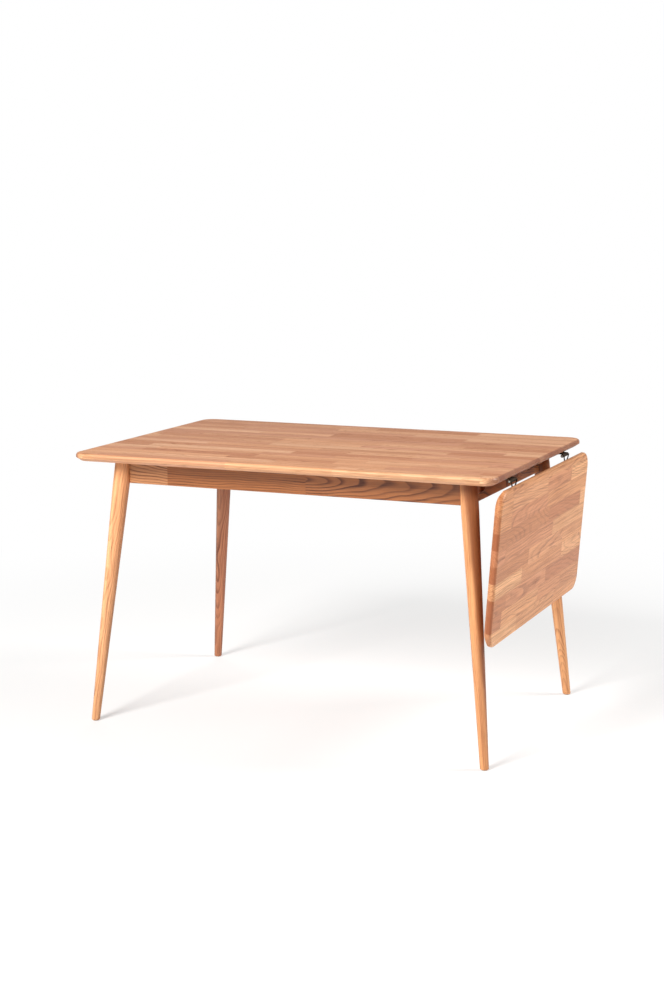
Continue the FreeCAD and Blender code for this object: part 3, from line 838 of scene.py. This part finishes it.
@dataclass
class Board:
    """A glued oak board with round corners, lying flat with its underside at height 0."""

    name: str
    low: tuple[float, float]
    high: tuple[float, float]
    corner: float
    edge: EdgeShape = EdgeShape()
    corner_steps: int = 20

    def outline(self, inset: np.ndarray) -> np.ndarray:
        """Rings of the board's outline at several insets.

        Each corner is an arc about one fixed centre whose radius is the corner's less the inset,
        and the sides are the straight lines between the arcs.

        Args:
            inset: Insets, one per ring.

        Returns:
            Points as rings by columns by 2.
        """
        left, front = (edge + self.corner for edge in self.low)
        right, back = (edge - self.corner for edge in self.high)
        centres = ((right, front), (right, back), (left, back), (left, front))
        rings = []
        for quarter, centre in enumerate(centres):
            start = 90.0 * (quarter - 1)
            unit = arc((0.0, 0.0), 1.0, start, start + 90.0, self.corner_steps)
            rings.append(np.array(centre) + (self.corner - inset)[:, None, None] * unit[None])
        return np.concatenate(rings, axis=1)

    def build(self) -> Piece:
        """Make the board's skin from its edge section carried round its outline."""
        profile = self.edge.profile()
        rings = self.outline(profile[:, 0])
        heights = np.broadcast_to(profile[:, 1][:, None, None], rings.shape[:2] + (1,))
        return skin(self.name, np.concatenate([rings, heights], axis=2))


@dataclass
class Tops:
    """The fixed top and the drop leaf."""

    tilt: float = 4.5
    leaf_start: float = 6.1 * MM
    leaf_length: float = 400 * MM
    leaf_lift: float = 6 * MM
    leaf_set_in: float = 5 * MM
    top_corner: float = 40 * MM
    leaf_corner: float = 45 * MM
    top_seed: float = 3.0
    leaf_seed: float = 41.0
    # The top's oak lays a painted highlight on its front and back edges.
    top_oak: Oak = Oak(
        end=(136, 82, 58), end_show=0.65, end_vary=0.3, edge_highlight_show=0.45, gloss=0.45,
        streak_show=0.56)
    leaf_oak: Oak = Oak(
        pale=(245, 188, 135), honey=(226, 160, 109), rose=(211, 143, 101), brown=(184, 115, 72),
        line=(158, 96, 58), end=(146, 80, 44), ring=0.0043, ring_show=0.72, streak_show=0.62,
        fibre_show=1.6, end_show=0.1, end_vary=0.9)

    def build(self, pivot: Vector) -> list[Piece]:
        """Make both boards and dress them.

        Args:
            pivot: A point on the leaf hinge's axis.

        Returns:
            The two boards.
        """
        low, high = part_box("tabletop")
        top = Board("oak_tabletop", tuple(low[:2]), tuple(high[:2]), self.top_corner).build()
        top.data.transform(Matrix.Translation((0, 0, low.z)))
        top_cut = Cut(Vector((0, low.y, high.z)), RIGHT, BACK, seed=self.top_seed)
        finish = self.top_oak.dress("oak_top_staves", top_cut, Staves())
        settle(top, finish, "frame", "oak_top", "tabletop")

        leaf_end = self.leaf_start + self.leaf_length
        side = high.y - self.leaf_set_in
        board = Board("oak_leaf", (self.leaf_start, -side), (leaf_end, side), self.leaf_corner)
        leaf = board.build()
        hang = Matrix.Translation(pivot) @ Matrix.Rotation(math.radians(90 + self.tilt), 4, "Y")
        leaf.data.transform(hang @ Matrix.Translation((0, 0, self.leaf_lift)))
        origin = hang @ Vector((leaf_end, 0, self.leaf_lift + board.edge.thick))
        inward = hang.to_3x3() @ Vector((-1, 0, 0))
        leaf_cut = Cut(origin, BACK, inward, seed=self.leaf_seed)
        finish = self.leaf_oak.dress("oak_leaf_staves", leaf_cut, Staves())
        settle(leaf, finish, "leaf", "oak_leaf", "leaf_board")
        return [top, leaf]


# Legs


@dataclass(frozen=True)
class Stick:
    """The wood that one leg is turned from: its tones and where its pith lies."""

    oak: Oak
    pith_aside: float
    pith_below: float
    slant: float
    seed: float
    lean: float = 0.0


@dataclass
class Legs:
    """Four round legs, tapered to the foot, splayed both ways and flatted for the rails."""

    sticks: Mapping[str, Stick]
    foot_radius: float = 11.5 * MM
    top_radius: float = 23 * MM
    knee: float = 650 * MM
    foot_ease: float = 1.5 * MM
    glide: float = 2 * MM
    out_x: float = 69 * MM
    out_y: float = 63.5 * MM
    flat: float = 20.5 * MM
    columns: int = 120
    first_ring: float = 0.05
    taper_rings: int = 7
    rail_rings: int = 9
    no_flat: float = 10.0

    def build(self) -> list[Piece]:
        """Make and dress the four legs."""
        rail_low, rail_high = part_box("end_rail_left")[0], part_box("end_rail_right")[1]
        side = -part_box("side_rail_front")[0].y
        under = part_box("tabletop")[0].z
        middle = (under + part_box("side_rail_front")[0].z) / 2
        made = []
        for name, sign_x, sign_y in CORNERS:
            corner = Vector((rail_low.x if sign_x < 0 else rail_high.x, sign_y * side, middle))
            made.append(self.leg(name, corner, sign_x, sign_y, under))
        return made

    def leg(self, name: str, corner: Vector, sign_x: int, sign_y: int, under: float) -> Piece:
        """Make and dress one leg, whose line passes the corner at the middle of the rails."""
        made = skin(f"oak_leg_{name}", self.rings(corner, sign_x, sign_y, under))
        foot = Vector((corner.x + sign_x * self.out_x, corner.y + sign_y * self.out_y, 0.0))
        along = (corner - foot).normalized()
        across = along.cross(BACK).normalized()
        stick = self.sticks[name]
        cut = Cut(
            foot, along, across, stick.pith_aside, stick.pith_below, stick.slant, stick.seed,
            stick.lean)
        finish = stick.oak.dress(f"oak_leg_{name}", cut)
        settle(made, finish, "frame", "oak_legs", f"leg_{name}")
        return made

    def rings(self, corner: Vector, sign_x: int, sign_y: int, under: float) -> np.ndarray:
        """Sections of one leg from the foot up.

        At each height the section is a circle about the leg's line.  Its reach in a direction is
        the smallest of the radius and the distances to the two flats, each divided by the
        direction's part towards that flat.

        Args:
            corner: Point on the leg's line at the middle of the rails.
            sign_x: Side of the table in X.
            sign_y: Side of the table in Y.
            under: Height of the top's underside.

        Returns:
            Points as heights by columns by 3.
        """
        rails_from = corner.z * 2 - under
        heights = np.concatenate([
            [self.glide, self.glide + self.foot_ease],
            np.linspace(self.first_ring, self.knee, self.taper_rings),
            np.linspace(rails_from, under, self.rail_rings),
        ])
        radii = np.interp(
            heights, [self.glide, self.glide + self.foot_ease, self.knee],
            [self.foot_radius - self.foot_ease, self.foot_radius, self.top_radius])
        share = (corner.z - heights) / corner.z
        angles = np.linspace(0, 2 * np.pi, self.columns, endpoint=False)
        cos, sin = np.cos(angles), np.sin(angles)
        flatted = (heights > rails_from - WELD)[:, None]
        reach = radii[:, None]
        for out, part in ((self.out_x, cos), (self.out_y, sin)):
            to_flat = (self.flat + out * share)[:, None] / np.maximum(-part, WELD)
            reach = np.minimum(reach, np.where(flatted & (part < 0), to_flat, self.no_flat))
        grid = np.empty((len(heights), self.columns, 3))
        grid[:, :, 0] = corner.x + sign_x * ((self.out_x * share)[:, None] + reach * cos)
        grid[:, :, 1] = corner.y + sign_y * ((self.out_y * share)[:, None] + reach * sin)
        grid[:, :, 2] = heights[:, None]
        return grid


# Rails, bars and blocks under the top


@dataclass
class Rails:
    """The four rails under the top, and how the staves of each are counted.

    A side holds the rail's node, its thickness axis, whether its outer face is the higher one on
    that axis, whether its staves are counted upwards, and the seed of its pattern.
    """

    # A darkened oak whose tone is partly painted shade from the top.
    oak: Oak
    ease: float = 1.4 * MM
    notch_round: float = 6 * MM
    notch_steps: int = 6
    step: float = 22 * MM
    notch: float = 102 * MM
    above: float = 2 * MM
    staves: Staves = Staves(row=0.070, length=0.38, slant=0.35)
    sides: Sequence[tuple[str, Facing, bool, bool, float]] = (
        ("side_rail_front", Facing.Y, False, True, 6310.5),
        ("side_rail_back", Facing.Y, True, False, 6.0),
        ("end_rail_left", Facing.X, False, False, 8.0),
        ("end_rail_right", Facing.X, True, True, 9.0),
    )

    def build(self) -> list[Piece]:
        """Make and dress the rails."""
        made = []
        for node, facing, outer_high, upward, seed in self.sides:
            low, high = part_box(node)
            notched = node == "end_rail_right"
            outline = self.notched(low, high) if notched else rectangle(low, high, facing)
            rail = plank(f"oak_{node}", outline, low, high, facing, self.ease)
            origin = Vector((0.0, 0.0, low.z - self.above if upward else high.z + self.above))
            origin[facing.value] = (high if outer_high else low)[facing.value]
            along = RIGHT if facing is Facing.Y else BACK
            cut = Cut(origin, along, UP if upward else DOWN, seed=seed)
            finish = self.oak.dress(f"oak_{node}", cut, self.staves)
            settle(rail, finish, "frame", "oak_rails", node)
            made.append(rail)
        return made

    def notched(self, low: Vector, high: Vector) -> np.ndarray:
        """Outline in Y and Z of the end rail that is cut down at both ends for the bars."""
        floor = low.z + self.step
        wall = high.y - self.notch
        centre = (wall + self.notch_round, floor + self.notch_round)
        turn = arc(centre, self.notch_round, 270, 180, self.notch_steps)
        right = np.vstack([[high.y, low.z], [high.y, floor], turn, [wall, high.z]])
        left = right[::-1] * np.array([-1.0, 1.0])
        return np.vstack([right, left])


@dataclass
class UnderFrame:
    """Support bars, their guides, the cross rail and the corner braces."""

    # A darkened oak whose tone is partly painted shade from the top.
    oak: Oak
    ease: float = 0.9 * MM
    nose: float = 12 * MM
    nose_steps: int = 8
    brace_reach: float = 85 * MM
    brace_back: float = 50 * MM
    pith_aside: float = 0.02
    pith_below: float = 0.03
    pith_step: float = 0.004
    pith_steps: int = 5
    slant: float = 0.04
    bar_seed: float = 11.0
    guide_seed: float = 13.0
    cross_seed: float = 15.0
    brace_seed: float = 17.0

    def build(self) -> list[Piece]:
        """Make and dress the wooden pieces that sit inside the rails."""
        made = []
        for count, name in enumerate(("front", "back")):
            made.append(self.bar(name, self.bar_seed + count))
            made.append(self.block(f"bar_guide_{name}", RIGHT, self.guide_seed + count))
        made.append(self.block("cross_rail", BACK, self.cross_seed))
        for count, (name, sign_x, sign_y) in enumerate(CORNERS):
            made.append(self.brace(name, sign_x, sign_y, self.brace_seed + count))
        return made

    def bar(self, name: str, seed: float) -> Piece:
        """Make a support bar, whose lower outer end is rounded off."""
        node = f"support_bar_{name}"
        low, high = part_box(node)
        nose = arc(
            (low.z + self.nose, high.x - self.nose), self.nose, 180, 90, self.nose_steps)
        outline = np.vstack([[[low.z, low.x]], nose, [[high.z, high.x], [high.z, low.x]]])
        made = plank(f"oak_{node}", outline, low, high, Facing.Y, self.ease)
        self.finish(made, node, f"bar_{name}", RIGHT, seed)
        return made

    def block(self, node: str, along: Vector, seed: float) -> Piece:
        """Make a plain block with eased edges over a node's box."""
        low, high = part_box(node)
        outline = rectangle(low, high, Facing.Y)
        made = plank(f"oak_{node}", outline, low, high, Facing.Y, self.ease)
        self.finish(made, node, "frame", along, seed)
        return made

    def brace(self, name: str, sign_x: int, sign_y: int, seed: float) -> Piece:
        """Make a slanting brace between two rails, in plan a band cut off square to the rails."""
        node = f"corner_brace_{name}"
        low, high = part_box(node)
        corner_x = high.x if sign_x > 0 else low.x
        corner_y = high.y if sign_y > 0 else low.y
        outline = np.array([
            [corner_x - sign_x * self.brace_back, corner_y],
            [corner_x - sign_x * self.brace_reach, corner_y],
            [corner_x, corner_y - sign_y * self.brace_reach],
            [corner_x, corner_y - sign_y * self.brace_back],
        ])
        made = plank(f"oak_{node}", outline, low, high, Facing.Z, self.ease)
        self.finish(made, node, "frame", Vector((sign_x, -sign_y, 0)).normalized(), seed)
        return made

    def finish(self, piece: Piece, node: str, body: str, along: Vector, seed: float) -> None:
        """Dress a block with its own grain and settle it over its solid."""
        low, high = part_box(node)
        below = self.pith_below + self.pith_step * (seed % self.pith_steps)
        cut = Cut(
            (low + high) / 2, along, UP, pith_aside=self.pith_aside, pith_below=below,
            slant=self.slant, seed=seed)
        settle(piece, self.oak.dress(f"oak_{node}", cut), body, "oak_inner", node)


# Metal, dowels and glides


@dataclass
class Fittings:
    """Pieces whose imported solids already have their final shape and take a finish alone."""

    hinge: Hard = Hard((84, 70, 54), roughness=0.42, worn=0.56)
    pin: Hard = Hard((168, 166, 160), roughness=0.28)
    zinc: Hard = Hard((190, 190, 186), roughness=0.36)
    glide: Hard = Hard(
        (206, 200, 188), roughness=0.6, metallic=0.0, worn=0.82, clouds=160.0,
        window=(0.45, 0.75), marks=(1800.0, 1800.0, 1800.0), mark_noise=(1.0, 0.5),
        mark_rough=0.0, bump=0.3)
    peg: Oak = Oak(
        pale=(228, 194, 154), honey=(220, 180, 138), rose=(214, 172, 132), brown=(204, 160, 118),
        line=(186, 138, 98), ring_show=0.2)

    def build(self, nodes: Mapping[str, Piece]) -> list[Piece]:
        """Dress the metal, dowels, pegs and glides.

        Args:
            nodes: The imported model's objects by node name.

        Returns:
            The dressed objects.
        """
        peg_cut = Cut(Vector((0, 0, 0)), UP, RIGHT)
        finishes = (
            (("hinge_top_plate", "hinge_leaf_plate"), self.hinge.dress("hinge_steel")),
            (("hinge_pin",), self.pin.dress("pin_steel")),
            (("hinge_screws", "brace_screws", "bracket_screws", "guide_screws", "hanger_bolts",
              "brace_washers", "brace_nuts", "top_brackets"), self.zinc.dress("zinc_steel")),
            (("foot_glide",), self.glide.dress("glide_plastic")),
            (("bar_stop", "cross_rail_dowels"), self.peg.dress("beech_peg", peg_cut)),
        )
        made = []
        for starts, finish in finishes:
            for name, piece in nodes.items():
                if name.startswith(starts):
                    piece.data.materials.clear()
                    piece.data.materials.append(finish)
                    made.append(piece)
        return made


# Stage


@dataclass(frozen=True)
class Lamp:
    """A rectangular lamp that looks at the table.

    It hangs at a turn about Z from -Y towards +X and at a lift above the horizon, both in
    degrees.  Its power is in watts, and it may or may not show as a reflection.
    """

    name: str
    turn: float
    lift: float
    span: tuple[float, float]
    power: float
    shines: bool = True
    distance: float = 5.0
    aim_height: float = 0.6

    def hang(self) -> None:
        """Put the lamp in the scene."""
        data = bpy.data.lights.new(self.name, "AREA")
        data.shape = "RECTANGLE"
        data.size, data.size_y = self.span
        data.energy = self.power
        lamp = bpy.data.objects.new(self.name, data)
        lamp.visible_glossy = self.shines
        a, e = math.radians(self.turn), math.radians(self.lift)
        aim = Vector((math.sin(a) * math.cos(e), -math.cos(a) * math.cos(e), math.sin(e)))
        lamp.location = Vector((0, 0, self.aim_height)) + aim * self.distance
        lamp.rotation_euler = aim.to_track_quat("Z", "Y").to_euler()
        bpy.context.scene.collection.objects.link(lamp)


@dataclass
class Studio:
    """Floor, backdrop, lamps and camera."""

    camera_place: tuple[float, float, float] = (1.93776, -4.50846, 1.44635)
    camera_turn: float = 23.418
    camera_dip: float = 9.829
    camera_roll: float = -0.273
    lens: float = 64.438
    sensor: float = 36.0
    sight: float = 100.0
    floor_span: float = 60.0
    floor_tint: Tint = (246, 245, 243)
    floor_bounce: Tint = (244, 242, 239)
    floor_fade: Window = (0.9, 2.6)
    washed: float = 0.5
    mirrored: float = 0.3
    room: float = 0.06
    lamps: Sequence[Lamp] = (
        Lamp("key", -14.0, 31.0, (1.6, 1.9), 262.0, shines=False),
        Lamp("sheen", -14.0, 31.0, (1.6, 1.9), 94.0),
        Lamp("side", 112.0, 33.0, (1.8, 1.8), 190.0),
        Lamp("fill", 215.0, 28.0, (3.0, 2.0), 58.0, shines=False),
    )

    def build(self) -> None:
        """Set up the whole stage."""
        self.place_camera()
        self.lay_floor()
        self.light_room()
        for lamp in self.lamps:
            lamp.hang()
        bpy.context.scene.view_settings.view_transform = "Standard"

    def place_camera(self) -> None:
        """Place the camera by its turn about Z, its dip below the horizon and its roll."""
        turn, dip, roll = (
            math.radians(a) for a in (self.camera_turn, self.camera_dip, self.camera_roll))
        ahead = Vector((
            -math.sin(turn) * math.cos(dip), math.cos(turn) * math.cos(dip), -math.sin(dip)))
        right = Vector((math.cos(turn), math.sin(turn), 0.0))
        up = right.cross(ahead)
        level = Matrix((right, up, -ahead)).transposed()
        data = bpy.data.cameras.new("camera")
        data.lens = self.lens
        data.sensor_width = self.sensor
        data.clip_end = self.sight
        camera = bpy.data.objects.new("camera", data)
        camera.matrix_world = Matrix.Translation(self.camera_place) @ (
            level @ Matrix.Rotation(roll, 3, "Z")).to_4x4()
        bpy.context.scene.collection.objects.link(camera)
        bpy.context.scene.camera = camera

    def lay_floor(self) -> None:
        """Lay a pale floor that fades to white away from the table and is clear from below."""
        half = self.floor_span / 2
        points = np.array([[-half, -half, 0], [half, -half, 0], [half, half, 0], [-half, half, 0]])
        floor = shape("floor", points, [(0, 1, 2, 3)])
        made, paint = blank("floor")
        x, y, _ = paint.split(paint.node("ShaderNodeTexCoord").outputs["Object"])
        away = (x * x + y * y).root().rise(*self.floor_fade)
        away = self.washed + away * (1.0 - self.washed)
        seen = paint.read("ShaderNodeLightPath", "Is Camera Ray")
        below = paint.read("ShaderNodeNewGeometry", "Backfacing") * seen
        pale, dull = (
            paint.node("ShaderNodeBsdfDiffuse", inputs={"Color": linear(tint)})
            for tint in (self.floor_tint, self.floor_bounce))
        white = paint.node("ShaderNodeEmission", inputs={"Color": WHITE, "Strength": 1.0})
        clear = paint.node("ShaderNodeBsdfTransparent")
        laid = paint.either(seen * away, paint.either(seen, dull, pale), white)
        paint.finish(paint.either(below, laid, clear))
        floor.data.materials.append(made)

    def light_room(self) -> None:
        """Light the room evenly, with a white backdrop that reflections show in part."""
        world = bpy.data.worlds.new("studio")
        world.use_nodes = True
        bpy.context.scene.world = world
        paint = Painter(world.node_tree)
        camera, through, glossy = (
            paint.read("ShaderNodeLightPath", f"Is {kind} Ray")
            for kind in ("Camera", "Transmission", "Glossy"))
        room, white = (
            paint.node("ShaderNodeBackground", inputs={"Color": WHITE, "Strength": strength})
            for strength in (self.room, 1.0))
        direct = camera.most(through).most(glossy * self.mirrored)
        mixed = paint.either(direct, room, white)
        paint.node("ShaderNodeOutputWorld", inputs={"Surface": mixed.outputs[0]})


def main() -> None:
    """Build the table's visible pieces and its stage, and log the face count of each piece."""
    logging.basicConfig(level=logging.INFO, format="%(name)s: %(message)s")
    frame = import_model()
    pivot = Vector(next(j for j in frame["joints"] if j["name"] == "leaf_fold")["pos_m"])
    Studio().build()
    # The rails' oak is darker than the legs' to paint the shade that falls under the top; its
    # grain is the wood's own. The bars, guides, cross rail and braces share it.
    shade_darkened_rail_oak = Oak(
        pale=(202, 144, 98), honey=(165, 103, 57), rose=(167, 104, 59), brown=(147, 86, 43),
        line=(79, 37, 17), ring=0.0052, ring_show=1.25, streak_show=0.30, fibre_show=1.0)
    leg_oak = Oak(
        pale=(240, 187, 138), honey=(232, 170, 116), rose=(222, 156, 107), brown=(200, 135, 90),
        ring=0.0036, ring_show=0.6, streak_show=0.5, fibre_show=1.4)
    # The front right leg's dark wood is partly real heart and partly painted shade on its side
    # towards the leaf.
    heart_and_shade_oak = replace(
        leg_oak, pale=(236, 179, 128), honey=(224, 160, 105), rose=(214, 148, 98),
        heart_and_shade=(116, 60, 30), heart_and_shade_reach=0.022)
    # The back right leg's dark wood at its top is a painted shadow of the tabletop.
    painted_shadow_oak = replace(leg_oak, heart_and_shade=(100, 52, 26), heart_and_shade_reach=0.026)
    # The back left leg's oak is darker, partly its own tone and partly painted shade from the top.
    dark_wood_and_shade_oak = Oak(
        pale=(202, 142, 107), honey=(186, 123, 88), rose=(174, 110, 78), brown=(132, 76, 49),
        line=(100, 50, 30), ring=0.0042, ring_show=1.1, streak_show=0.45, fibre_show=0.9)
    sticks = {
        "front_left": Stick(leg_oak, 0.012, 0.040, 0.014, 0.37),
        "front_right": Stick(heart_and_shade_oak, 0.040, 0.0106, -0.0324, 1.37, lean=-0.036),
        "back_left": Stick(dark_wood_and_shade_oak, 0.004, 0.020, 0.020, 2.37),
        # The back right leg's pith runs near its face only at the top, to place that painted
        # shadow.
        "back_right": Stick(painted_shadow_oak, 0.005, 0.0675, -0.125, 3.37),
    }
    made = Tops().build(pivot)
    made += Legs(sticks).build()
    made += Rails(shade_darkened_rail_oak).build()
    made += UnderFrame(shade_darkened_rail_oak).build()
    made += Fittings().build(frame["nodes"])
    for piece in made:
        LOG.info("%s: %d faces", piece.name, len(piece.data.polygons))


if __name__ == "__main__":
    main()
